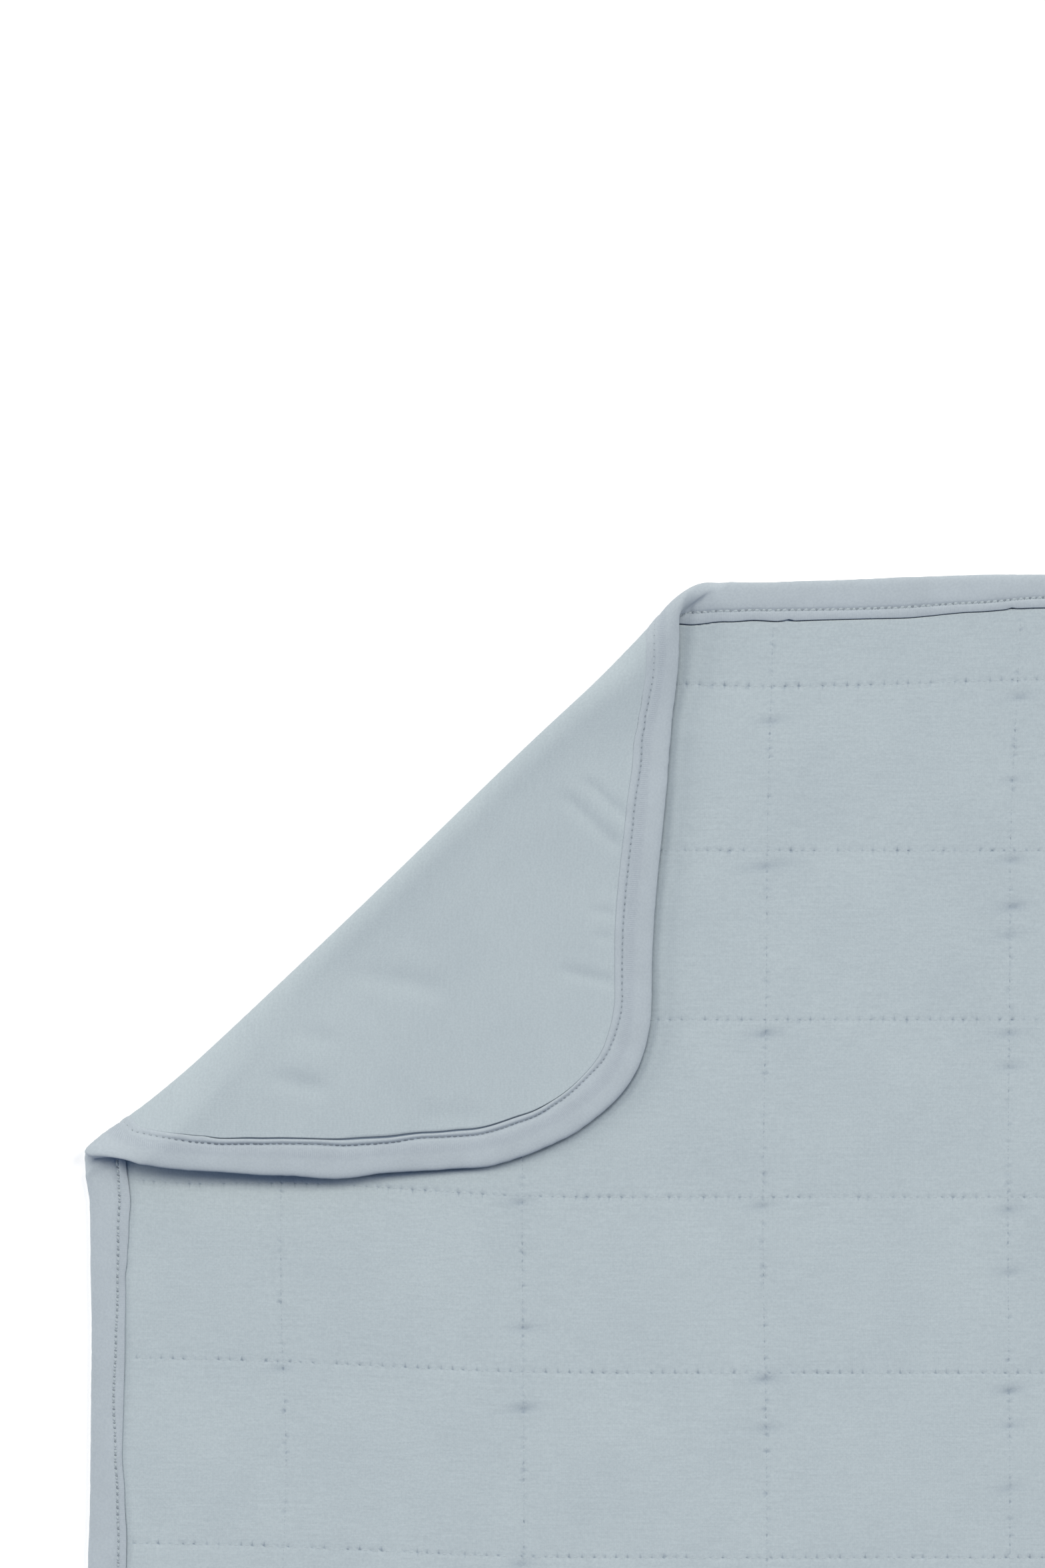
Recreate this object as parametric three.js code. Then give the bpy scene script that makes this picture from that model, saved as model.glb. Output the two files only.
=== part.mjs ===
// Quilted crib blanket lying flat, its top left corner folded over onto the quilting.
// Millimetres. x runs across the blanket, y up it and z up from the surface it lies on.
// Every face is first drawn on the flat blanket, as x, y and a height h above the surface.
// It is then cut along the lines of the bend, and each point is carried round the fold.

import * as THREE from 'three';
import { mergeVertices } from 'three/addons/utils/BufferGeometryUtils.js';

// Outline of the flat blanket
const blanketWidth = 750;
const blanketLength = 1000;
const cornerRadius = 95;
const cornerSteps = 7;

// Cloth thicknesses and the gap that keeps the layers apart
const backThick = 1.2;
const bindingThick = 1.2;
const channelThick = 2.2;
const crownThick = 3.8;
const seamThick = 1.7;
const layerGap = 0.3;

// Binding, measured inward from the outer edge
const bindingWidth = 20;
const panelRim = 6;
const edgeRoll = 4;
const edgeCorner = 1;
const hemSettle = 26;

// Quilting grid: columns from the left, and the gap above each row from the top edge down
const firstColumn = -277;
const columnPitch = 121.5;
const columnCount = 6;
const rowGaps = [52.3, 86.4, 84.6, 88.7, 88, 92.3, 88, 88, 88, 88, 88];
const channelShoulder = 16;
const seamShoulder = 40;
const narrowestCell = 6;

// Fold: the line it lies along, the loop it makes, and how it eases down onto the quilting
const foldLine = { x: -199.4, y: 370, angle: 44.2 };
const loopRadius = 8.4;
const loopSteps = 8;
const easeAngle = 12;
const easeSteps = 3;
const flapHeight = 12.6;

// How the laid cloth drifts from the square grid: centre and reach of each drift, and its move
const drifts = {
  topEdgeDips: { x: -110, y: 540, reachX: 215, reachY: 190, moveY: -6.4 },
  rowsClimbOnTheLeft: { x: -400, y: 60, reachX: 260, reachY: 330, moveY: 7.5 },
  foldHitchesUpAtTheLeft: { x: -385, y: 215, reachX: 70, reachY: 110, moveY: 8 },
  leftEdgeDrawsIn: { x: -400, y: 100, reachX: 110, reachY: 190, moveX: 3.4 },
  columnsLeanAtTheTop: { x: 50, y: 540, reachX: 170, reachY: 200, moveX: 8 },
  foldStandsOutAtTheTop: { x: -92, y: 488, reachX: 60, reachY: 60, moveX: -2.5, moveY: 3.4 },
  foldEndBulges: { x: -385, y: 207, reachX: 50, reachY: 34, moveX: -2.8 },
};

// How the folded corner alone settles: a drift sets in at a share of the loop, and takes hold over a length
const flapDrifts = {
  rightSideSlackens: { x: -60, y: 250, reachX: 270, reachY: 400, moveX: -12, setsIn: 1, hold: 34 },
  lowerEdgeDropsAtTheFold: { x: -366, y: 212, reachX: 100, reachY: 90, moveY: -8.5, setsIn: 0.4, hold: 12 },
  lowerEdgeSags: { x: -262, y: 195, reachX: 82, reachY: 90, moveY: -9, setsIn: 1, hold: 14 },
  lowerEdgeRisesToTheCorner: { x: -148, y: 212, reachX: 76, reachY: 70, moveY: 3.8, setsIn: 1, hold: 34 },
  cornerSquaresOut: { x: -93, y: 254, reachX: 42, reachY: 46, moveX: 3.8, moveY: -2.4, setsIn: 1, hold: 34 },
  outerEdgeCurlsAtTheTop: { x: -70, y: 482, reachX: 22, reachY: 50, moveX: -4, setsIn: 0.45, hold: 16 },
  innerEdgeCurlsAtTheTop: { x: -104, y: 474, reachX: 24, reachY: 90, moveX: 4.6, setsIn: 0.4, hold: 10 },
  lowerEdgeStandsOff: { x: -290, y: 190, reachX: 140, reachY: 140, lift: 6, setsIn: 1, hold: 34 },
};

// Finish of the cloth
const quiltColour = 0xb2bdc3;
const backColour = 0xb1bcc2;
const bindingColour = 0xadb7bf;
const jerseyRoughness = 0.95;
const ribRoughness = 0.9;

// Heights of the layers inside the bound edge
const seamFloor = bindingThick + layerGap;
const quiltFloor = backThick + layerGap;
const bindingUnder = seamFloor + quiltFloor + seamThick + layerGap;
const bindingTop = bindingUnder + bindingThick;

// Directions along and across the fold, and the stretches of its bend
const foldTurn = THREE.MathUtils.degToRad(foldLine.angle);
const foldRun = new THREE.Vector2(Math.cos(foldTurn), Math.sin(foldTurn));
const foldAcross = new THREE.Vector2(-foldRun.y, foldRun.x);
const foldFoot = new THREE.Vector2(foldLine.x, foldLine.y).addScaledVector(foldAcross, -loopRadius);
const easeTurn = THREE.MathUtils.degToRad(easeAngle);
const easeRadius = (2 * loopRadius - flapHeight) / (1 - Math.cos(easeTurn)) - loopRadius;
const loopLength = loopRadius * (Math.PI + easeTurn);
const easeLength = easeRadius * easeTurn;

// Distances below which points are one point, and the least area of a cell worth keeping
const tiny = 1e-6;
const mergeWithin = 1e-3;
const leastArea = 1;

function ease(share) {
  const t = THREE.MathUtils.clamp(share, 0, 1);
  return t * t * (3 - 2 * t);
}

// Bend lines: one where the cloth leaves the surface, then round the loop and down the ease
function bendLines() {
  const lines = [0];
  for (let i = 1; i <= loopSteps; i += 1) {
    lines.push((loopLength * i) / loopSteps);
  }
  for (let i = 1; i <= easeSteps; i += 1) {
    lines.push(loopLength + (easeLength * i) / easeSteps);
  }
  return lines;
}

// Point of the bend's section, for cloth a given way past the fold and a height above its underside
function foldSection(past, h) {
  if (past <= 0) {
    return { t: past, z: h };
  }
  if (past <= loopLength) {
    const turn = past / loopRadius;
    return { t: (loopRadius - h) * Math.sin(turn), z: loopRadius - (loopRadius - h) * Math.cos(turn) };
  }
  const centreT = -(loopRadius + easeRadius) * Math.sin(easeTurn);
  const centreZ = loopRadius + (loopRadius + easeRadius) * Math.cos(easeTurn);
  const left = easeTurn - (past - loopLength) / easeRadius;
  if (left > 0) {
    return {
      t: centreT + (easeRadius + h) * Math.sin(left),
      z: centreZ - (easeRadius + h) * Math.cos(left),
    };
  }
  return { t: centreT - (past - loopLength - easeLength), z: flapHeight - h };
}

// Move of one drift at a place on the surface
function driftAt(drift, x, y) {
  const { reachX, reachY, moveX = 0, moveY = 0, lift = 0 } = drift;
  const share = ease(1 - Math.abs(x - drift.x) / reachX) * ease(1 - Math.abs(y - drift.y) / reachY);
  return new THREE.Vector3(moveX, moveY, lift).multiplyScalar(share);
}

// Place of a point of the flat blanket once the corner is folded and the cloth has settled
function lay(point) {
  const flat = new THREE.Vector2(point.x, point.y).sub(foldFoot);
  const past = flat.dot(foldAcross);
  const bent = foldSection(past, point.z);
  const plan = foldFoot.clone();
  plan.addScaledVector(foldRun, flat.dot(foldRun)).addScaledVector(foldAcross, bent.t);
  const settled = new THREE.Vector3(plan.x, plan.y, bent.z);
  for (const drift of Object.values(drifts)) {
    settled.add(driftAt(drift, plan.x, plan.y));
  }
  for (const drift of Object.values(flapDrifts)) {
    const onFlap = ease((past - drift.setsIn * loopLength) / drift.hold);
    settled.addScaledVector(driftAt(drift, plan.x, plan.y), onFlap);
  }
  return settled;
}

// Core of the rounded outline: every edge point lies one corner radius from it
const coreHalfWidth = blanketWidth / 2 - cornerRadius;
const coreHalfLength = blanketLength / 2 - cornerRadius;

function nearestCore(x, y) {
  return new THREE.Vector2(
    THREE.MathUtils.clamp(x, -coreHalfWidth, coreHalfWidth),
    THREE.MathUtils.clamp(y, -coreHalfLength, coreHalfLength),
  );
}

// Distance inward from the blanket's outer edge
function insetAt(x, y) {
  const core = nearestCore(x, y);
  if (core.x !== x && core.y !== y) {
    return cornerRadius - core.distanceTo(new THREE.Vector2(x, y));
  }
  return Math.min(blanketWidth / 2 - Math.abs(x), blanketLength / 2 - Math.abs(y));
}

// Rounded outline at an inset, anticlockwise
function outlineAt(inset) {
  const radius = cornerRadius - inset;
  const shape = new THREE.Shape();
  const corners = [
    { sideX: 1, sideY: -1, from: -90 },
    { sideX: 1, sideY: 1, from: 0 },
    { sideX: -1, sideY: 1, from: 90 },
    { sideX: -1, sideY: -1, from: 180 },
  ];
  for (const { sideX, sideY, from } of corners) {
    const start = THREE.MathUtils.degToRad(from);
    shape.absarc(sideX * coreHalfWidth, sideY * coreHalfLength, radius, start, start + Math.PI / 2, false);
  }
  return shape.getPoints(cornerSteps);
}

// The two sides of a polygon cut by a line on which side() is zero
function splitPolygon(polygon, side) {
  const near = [];
  const far = [];
  polygon.forEach((a, i) => {
    const b = polygon[(i + 1) % polygon.length];
    const sideA = side(a);
    const sideB = side(b);
    if (sideA <= tiny) near.push(a);
    if (sideA >= -tiny) far.push(a);
    if ((sideA < -tiny && sideB > tiny) || (sideA > tiny && sideB < -tiny)) {
      const cut = a.clone().lerp(b, sideA / (sideA - sideB));
      near.push(cut);
      far.push(cut);
    }
  });
  return { near, far };
}

// Grid lines over one direction: each channel, with its two shoulders where they are wanted
function gridLines(channels, limit, wantsShoulders) {
  const shoulders = channels.flatMap((at) => [at - channelShoulder, at + channelShoulder]);
  const lines = [...channels, ...shoulders.filter(wantsShoulders)];
  const inside = lines.filter((at) => Math.abs(at) < limit - narrowestCell);
  return [-limit, ...inside.sort((a, b) => a - b), limit];
}

const columns = Array.from({ length: columnCount }, (_, i) => firstColumn + i * columnPitch);
const rows = rowGaps.map((_, i) => blanketLength / 2 - rowGaps.slice(0, i + 1).reduce((a, b) => a + b));

// Cells of the quilting grid, trimmed to the rounded line where the hem has settled
function quiltCells(xs, ys) {
  const trim = outlineAt(hemSettle);
  const cells = [];
  for (let i = 0; i + 1 < xs.length; i += 1) {
    for (let j = 0; j + 1 < ys.length; j += 1) {
      let cell = [
        new THREE.Vector2(xs[i], ys[j]),
        new THREE.Vector2(xs[i + 1], ys[j]),
        new THREE.Vector2(xs[i + 1], ys[j + 1]),
        new THREE.Vector2(xs[i], ys[j + 1]),
      ];
      trim.forEach((a, k) => {
        const along = trim[(k + 1) % trim.length].clone().sub(a);
        if (along.length() > narrowestCell && cell.length > 2) {
          cell = splitPolygon(cell, (p) => p.clone().sub(a).cross(along) / along.length()).near;
        }
      });
      if (cell.length > 2 && THREE.ShapeUtils.area(cell) > leastArea) {
        cells.push(cell);
      }
    }
  }
  return cells;
}

// Points of the trimmed grid's rim in order, each with its direction out to the edge
function rimStations(cells) {
  const key = (p) => `${p.x.toFixed(4)} ${p.y.toFixed(4)}`;
  const sides = new Map();
  for (const cell of cells) {
    cell.forEach((a, i) => {
      const b = cell[(i + 1) % cell.length];
      sides.set(`${key(a)} ${key(b)}`, { a, b });
    });
  }
  const follow = new Map();
  for (const { a, b } of sides.values()) {
    if (!sides.has(`${key(b)} ${key(a)}`)) {
      follow.set(key(a), b);
    }
  }
  const stations = [];
  let point = follow.values().next().value;
  for (let i = 0; i < follow.size; i += 1) {
    const core = nearestCore(point.x, point.y);
    stations.push({ at: point, out: point.clone().sub(core).normalize() });
    point = follow.get(key(point));
  }
  return stations;
}

// A mesh plan: its cells and the stations round their rim
function planOf(wantsColumnShoulders, wantsRowShoulders) {
  const xs = gridLines(columns, blanketWidth / 2 - hemSettle, wantsColumnShoulders);
  const ys = gridLines(rows, blanketLength / 2 - hemSettle, wantsRowShoulders);
  const cells = quiltCells(xs, ys);
  return { cells, stations: rimStations(cells) };
}

// The quilting has shoulders all over. The plain pieces need them only on the folded corner,
// where every layer is cut alike so that the layers keep their gaps.
const slope = Math.tan(foldTurn);
const cornerRight = foldFoot.x + (blanketLength / 2 - foldFoot.y) / slope + channelShoulder;
const cornerFoot = foldFoot.y - (blanketWidth / 2 + foldFoot.x) * slope - channelShoulder;
const quiltPlan = planOf(() => true, () => true);
const plainPlan = planOf((x) => x < cornerRight, (y) => y > cornerFoot);

function stationPoint({ at, out }, inset) {
  return at.clone().addScaledVector(out, hemSettle - inset);
}

function raised(plan, h) {
  return new THREE.Vector3(plan.x, plan.y, h);
}

// Closed mesh of faces drawn on the flat blanket, bent and settled
function clothMesh(name, flatFaces, colour, roughness) {
  let faces = flatFaces;
  for (const line of bendLines()) {
    const side = (p) => (p.x - foldFoot.x) * foldAcross.x + (p.y - foldFoot.y) * foldAcross.y - line;
    faces = faces.flatMap((face) => {
      const crosses = face.some((p) => side(p) < -tiny) && face.some((p) => side(p) > tiny);
      const { near, far } = splitPolygon(face, side);
      return crosses ? [near, far] : [face];
    });
  }
  const positions = [];
  for (const face of faces) {
    const order = (a, b) => face[a].x - face[b].x || face[a].y - face[b].y;
    const first = face.map((_, i) => i).sort(order)[0];
    const turned = [...face.slice(first), ...face.slice(0, first)].map(lay);
    for (let i = 1; i + 1 < turned.length; i += 1) {
      positions.push(...turned[0].toArray(), ...turned[i].toArray(), ...turned[i + 1].toArray());
    }
  }
  const soup = new THREE.BufferGeometry();
  soup.setAttribute('position', new THREE.Float32BufferAttribute(positions, 3));
  const geometry = mergeVertices(soup, mergeWithin);
  geometry.computeVertexNormals();
  const material = new THREE.MeshStandardMaterial({ color: colour, roughness, metalness: 0 });
  const mesh = new THREE.Mesh(geometry, material);
  mesh.name = name;
  return mesh;
}

// Strip of faces between two lines round the edge, each given by its inset and its height
function edgeStrip(stations, from, to) {
  return stations.map((a, i) => {
    const b = stations[(i + 1) % stations.length];
    const a0 = stationPoint(a, from.inset);
    const b0 = stationPoint(b, from.inset);
    const b1 = stationPoint(b, to.inset);
    const a1 = stationPoint(a, to.inset);
    return [raised(a0, from.h(a0)), raised(b0, from.h(b0)), raised(b1, to.h(b1)), raised(a1, to.h(a1))];
  });
}

// Panel between two surfaces, reaching out under the binding to its own rim
function panelFaces({ cells, stations }, under, over) {
  const top = cells.map((cell) => cell.map((p) => raised(p, over(p))));
  const bottom = cells.map((cell) => cell.map((p) => raised(p, under(p))).reverse());
  const insets = [panelRim, bindingWidth, hemSettle];
  const path = [
    ...insets.toReversed().map((inset) => ({ inset, h: under })),
    ...insets.map((inset) => ({ inset, h: over })),
  ];
  const strips = path.slice(1).flatMap((to, i) => edgeStrip(stations, path[i], to));
  return [...top, ...bottom, ...strips];
}

// How far the panels have climbed onto the binding's lower turn
function hemClimb(p) {
  const share = (hemSettle - insetAt(p.x, p.y)) / (hemSettle - bindingWidth);
  return THREE.MathUtils.clamp(share, 0, 1) * seamFloor;
}

// Share of the full crown: none in a sewn channel, all of it past the shoulder
function crownShare(value, channels) {
  const nearest = Math.min(...channels.map((at) => Math.abs(value - at)));
  return ease(nearest / channelShoulder);
}

function quiltThick(p) {
  const crown = crownShare(p.x, columns) * crownShare(p.y, rows);
  const padded = THREE.MathUtils.lerp(channelThick, crownThick, crown);
  const fromSeam = (insetAt(p.x, p.y) - bindingWidth) / (seamShoulder - bindingWidth);
  return THREE.MathUtils.lerp(seamThick, padded, ease(fromSeam));
}

function quiltedTop() {
  const under = (p) => hemClimb(p) + quiltFloor;
  const over = (p) => under(p) + quiltThick(p);
  return clothMesh('quilted_top', panelFaces(quiltPlan, under, over), quiltColour, jerseyRoughness);
}

function plainBack() {
  const under = (p) => hemClimb(p);
  const over = (p) => hemClimb(p) + backThick;
  return clothMesh('plain_back', panelFaces(plainPlan, under, over), backColour, jerseyRoughness);
}

// Binding: a strip folded round the edge, its section walked up the outside and back down the inside
function edgeBinding() {
  const middle = bindingTop / 2;
  const section = [
    { inset: bindingWidth, h: 0 },
    { inset: edgeRoll, h: 0 },
    { inset: edgeCorner, h: edgeCorner },
    { inset: 0, h: middle },
    { inset: edgeCorner, h: bindingTop - edgeCorner },
    { inset: edgeRoll, h: bindingTop },
    { inset: bindingWidth, h: bindingTop },
    { inset: bindingWidth, h: bindingUnder },
    { inset: panelRim, h: bindingUnder },
    { inset: bindingThick + edgeCorner, h: middle },
    { inset: panelRim, h: bindingThick },
    { inset: bindingWidth, h: bindingThick },
  ];
  const path = section.map(({ inset, h }) => ({ inset, h: () => h }));
  const strips = path.flatMap((from, i) => edgeStrip(plainPlan.stations, from, path[(i + 1) % path.length]));
  return clothMesh('edge_binding', strips, bindingColour, ribRoughness);
}

const blanket = new THREE.Group();
blanket.add(quiltedTop(), plainBack(), edgeBinding());

export default blanket;
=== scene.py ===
import math

import bpy
import numpy as np
from mathutils import Matrix, Vector
from mathutils.geometry import delaunay_2d_cdt


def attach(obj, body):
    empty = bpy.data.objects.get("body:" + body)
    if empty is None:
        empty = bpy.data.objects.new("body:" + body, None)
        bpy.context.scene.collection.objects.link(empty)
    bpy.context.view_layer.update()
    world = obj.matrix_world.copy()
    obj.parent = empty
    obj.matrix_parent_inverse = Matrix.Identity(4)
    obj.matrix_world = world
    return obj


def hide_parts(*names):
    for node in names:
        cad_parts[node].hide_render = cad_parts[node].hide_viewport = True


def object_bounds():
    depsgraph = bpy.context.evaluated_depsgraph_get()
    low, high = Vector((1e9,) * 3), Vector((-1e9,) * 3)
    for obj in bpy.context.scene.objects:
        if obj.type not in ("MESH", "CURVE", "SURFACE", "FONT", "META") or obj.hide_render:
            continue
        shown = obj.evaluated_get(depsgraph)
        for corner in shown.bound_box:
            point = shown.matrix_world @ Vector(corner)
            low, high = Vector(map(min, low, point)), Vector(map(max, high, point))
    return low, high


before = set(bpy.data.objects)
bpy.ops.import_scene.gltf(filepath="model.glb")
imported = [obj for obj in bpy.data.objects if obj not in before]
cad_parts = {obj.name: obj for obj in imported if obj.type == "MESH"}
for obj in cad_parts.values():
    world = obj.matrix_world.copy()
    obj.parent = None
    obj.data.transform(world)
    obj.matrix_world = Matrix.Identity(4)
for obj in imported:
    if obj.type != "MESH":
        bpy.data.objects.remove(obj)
cadLow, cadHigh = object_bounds()
mm = 0.001  # everything below is drawn in millimetres

blanket = {
    "wide": (cadHigh.x - cadLow.x) / mm,
    "long": (cadHigh.y - cadLow.y) / mm,
    "cornerRadius": 95.0,
    "seed": 27,
}
layers = {
    "floor": 0.02,              # nothing lies lower than this
    "back": 1.2, "backUnder": 0.12,
    "crown": 3.8,               # quilt between the stitched lines
    "seam": 1.7,                # quilt squeezed under the binding
    "gap": 0.3,
    "bindingCloth": 1.2,
}
halfWide = blanket["wide"] / 2
halfLong = blanket["long"] / 2
cornerRadius = blanket["cornerRadius"]
seamFloor = layers["bindingCloth"] + layers["gap"]
quiltFloor = layers["back"] + layers["gap"]
bindingUnder = seamFloor + quiltFloor + layers["seam"] + layers["gap"]
bindingTop = bindingUnder + layers["bindingCloth"]
chance = np.random.default_rng(blanket["seed"])
print("blanket", round(blanket["wide"]), "x", round(blanket["long"]), "mm")


# how the flat blanket is laid out, with its corner turned back

fold = {
    "x": -199.4, "y": 370.0,    # a point on the fold's outer edge
    "angle": 44.2,
    "radius": 8.4,
    "easeAngle": 12.0,          # the loop turns past level, then eases back
    "flapHeight": 12.6,
    "settles": 34.0,            # the flap's creases come in over this
    "square": 0.1,              # the loop's shoulders stand out by this share
}
# the flap swells a little behind the loop, by the distance past the fold and along it
flapSwell = {
    "high": 2.6,
    "starts": 26.0, "rise": 34.0, "falls": 60.0, "fall": 80.0,
    "low": -190.0, "top": 125.0, "fade": 70.0,
}
# soft pulls on the laid cloth: where each is, how far it reaches, and its move across, along and up
drifts = {
    "topEdgeDips": ((-110, 540), (215, 190), (0, -6.4, 0)),
    "rowsClimbOnTheLeft": ((-400, 60), (260, 330), (0, 7.5, 0)),
    "foldHitchesUpAtTheLeft": ((-385, 215), (70, 110), (0, 6.8, 0)),
    "leftEdgeDrawsIn": ((-400, 100), (110, 190), (3.4, 0, 0)),
    "columnsLeanAtTheTop": ((50, 540), (170, 200), (8, 0, 0)),
    "foldStandsOutAtTheTop": ((-92, 488), (60, 60), (-2.2, 2.8, 0)),
    "foldEndRises": ((-79, 497), (22, 40), (-0.6, 2.2, 0)),
    "foldBowsOut": ((-135, 430), (105, 105), (-0.7, 0.9, 0)),
    "foldEndBulges": ((-385, 207), (50, 34), (-4.4, 0, 0)),
    "rowsClimbFurther": ((-265, 60), (170, 330), (0, 2, 0)),
    "rowLiftsByTheFlap": ((-262, 195), (125, 75), (0, 3.2, 0)),
    "columnsLeanLeft": ((-30, 180), (230, 150), (-2, 0, 0)),
    "leftColumnLeans": ((-277, 50), (90, 90), (2.6, 0, 0)),
    "topRowSags": ((5, 447), (150, 48), (0, -2.2, 0)),
}
# pulls on the turned-back corner alone: as above, then the share of the loop where each starts,
# and the length over which it sets in
flapDrifts = {
    "rightSideSlackens": ((-60, 250), (270, 400), (-12, 0, -0.8), (1, 34)),
    "rightSideTucks": ((-80, 325), (60, 75), (-2, 0, 0), (1, 34)),
    "lowerEdgeDropsAtFold": ((-340, 212), (92, 90), (0, -7.9, 0), (0.42, 9)),
    "foldEndTucksUp": ((-358, 205), (14, 16), (0, 1.6, 0), (0.45, 6)),
    "foldEndRollsOver": ((-366, 206), (16, 14), (-6, 0, 0), (0.45, 6)),
    "lowerEdgeSags": ((-258, 195), (82, 90), (0, -9.8, 0), (1, 14)),
    "lowerEdgeDips": ((-246, 195), (26, 90), (0, -1.2, 0), (1, 14)),
    "lowerEdgeHitches": ((-213, 195), (26, 90), (0, 1.2, 0), (1, 14)),
    "lowerEdgeSwells": ((-192, 205), (56, 80), (0, -2.4, 0), (1, 34)),
    "lowerEdgeRisesToTheCorner": ((-148, 212), (76, 70), (0, 3.8, 0), (1, 34)),
    "cornerSquaresOut": ((-93, 254), (42, 46), (2, -2, 0), (1, 34)),
    "outerEdgeCurlsAtTheTop": ((-70, 482), (22, 50), (-4, 0, 0), (0.45, 16)),
    "innerEdgeCurlsAtTheTop": ((-104, 474), (24, 90), (4.6, 0, 0), (0.4, 10)),
    "lowerEdgeStandsOff": ((-322, 196), (150, 130), (0, 0, 9), (0.6, 18)),
}
# creases on the turned-back corner: from and to on the laid blanket, how wide and how deep
flapCreases = {
    "longSlant": ((-136.3, 389.3), (-108.9, 363.3), 3.4, 0.9),
    "shortSlant": ((-124.9, 396.5), (-105.0, 377.5), 2.6, 0.7),
    "upperNip": ((-121.0, 331.5), (-110.7, 330.0), 2.4, 0.5),
    "lowerNip": ((-120.0, 318.5), (-110.7, 317.0), 2.4, 0.5),
    "cornerDraw": ((-136.3, 301.6), (-110.7, 295.4), 3.0, 0.7),
    "middleSag": ((-242.3, 301.5), (-197.3, 292.0), 6.0, 0.8),
    "lowSag": ((-281.0, 249.4), (-255.3, 242.6), 5.0, 1.1),
    "leftSag": ((-318.0, 250.2), (-303.0, 249.4), 4.0, 2.4),
    "highSag": ((-274.7, 271.7), (-249.0, 267.0), 5.0, 0.7),
    "seamSag": ((-207.3, 230.0), (-175.0, 228.5), 5.0, 0.4),
}
# small creases in the edge where it goes into the fold
edgeCreases = {
    "leftNip": ((-371.0, 198.0), (-362.0, 203.5), 1.3, 0.5),
    "leftTuck": ((-368.0, 194.0), (-362.5, 198.0), 1.0, 0.4),
    "topNip": ((-71.0, 487.0), (-73.0, 479.5), 1.1, 0.8),
    "topTuck": ((-66.5, 488.5), (-70.0, 480.0), 1.2, 0.6),
}
# a crease fades at its ends, and has a low ridge beside it in shares of its depth and width
creaseShape = {"flapEnds": 5.0, "edgeEnds": 2.0, "ridgeHigh": 0.25, "ridgeOff": 2.1, "ridgeWide": 1.2}

foldTurn = math.radians(fold["angle"])
foldRun = np.array([math.cos(foldTurn), math.sin(foldTurn)])
foldAcross = np.array([-foldRun[1], foldRun[0]])
foldFoot = np.array([fold["x"], fold["y"]]) - foldAcross * fold["radius"]
easeTurn = math.radians(fold["easeAngle"])
easeRadius = (2 * fold["radius"] - fold["flapHeight"]) / (1 - math.cos(easeTurn)) - fold["radius"]
loopLength = fold["radius"] * (math.pi + easeTurn)
easeLength = easeRadius * easeTurn
easeCentreT = -(fold["radius"] + easeRadius) * math.sin(easeTurn)
easeCentreZ = fold["radius"] + (fold["radius"] + easeRadius) * math.cos(easeTurn)


def ease(t):
    t = np.clip(t, 0, 1)
    return t * t * (3 - 2 * t)


def hump(off, wide):
    return np.exp(-(off / wide) ** 2)


def driftAt(pull, x, y):
    (atX, atY), (reachX, reachY), move = pull
    share = ease(1 - np.abs(x - atX) / reachX) * ease(1 - np.abs(y - atY) / reachY)
    return share[..., None] * np.array(move, float)


def creaseAt(creases, x, y, fade):
    sunk = np.zeros(x.shape)
    for start, end, wide, deep in creases.values():
        along = np.subtract(end, start)
        length = np.hypot(*along)
        along = along / length
        run = (x - start[0]) * along[0] + (y - start[1]) * along[1]
        off = (y - start[1]) * along[0] - (x - start[0]) * along[1]
        ends = ease((run + fade) / (2 * fade)) * ease((length + fade - run) / (2 * fade))
        ridge = hump(off - creaseShape["ridgeOff"] * wide, creaseShape["ridgeWide"] * wide)
        sunk += deep * ends * (hump(off, wide) - creaseShape["ridgeHigh"] * ridge)
    return sunk


def pastFold(x, y):
    return (x - foldFoot[0]) * foldAcross[0] + (y - foldFoot[1]) * foldAcross[1]


def fromFold(run, past):
    x = foldFoot[0] + foldRun[0] * run + foldAcross[0] * past
    y = foldFoot[1] + foldRun[1] * run + foldAcross[1] * past
    return x, y


def swellBehindFold(past, run):
    swell = ease((past - flapSwell["starts"]) / flapSwell["rise"])
    swell = swell * (1 - ease((past - flapSwell["falls"]) / flapSwell["fall"]))
    swell = swell * ease((run - flapSwell["low"]) / flapSwell["fade"])
    return flapSwell["high"] * (swell * ease((flapSwell["top"] - run) / flapSwell["fade"]))


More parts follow.
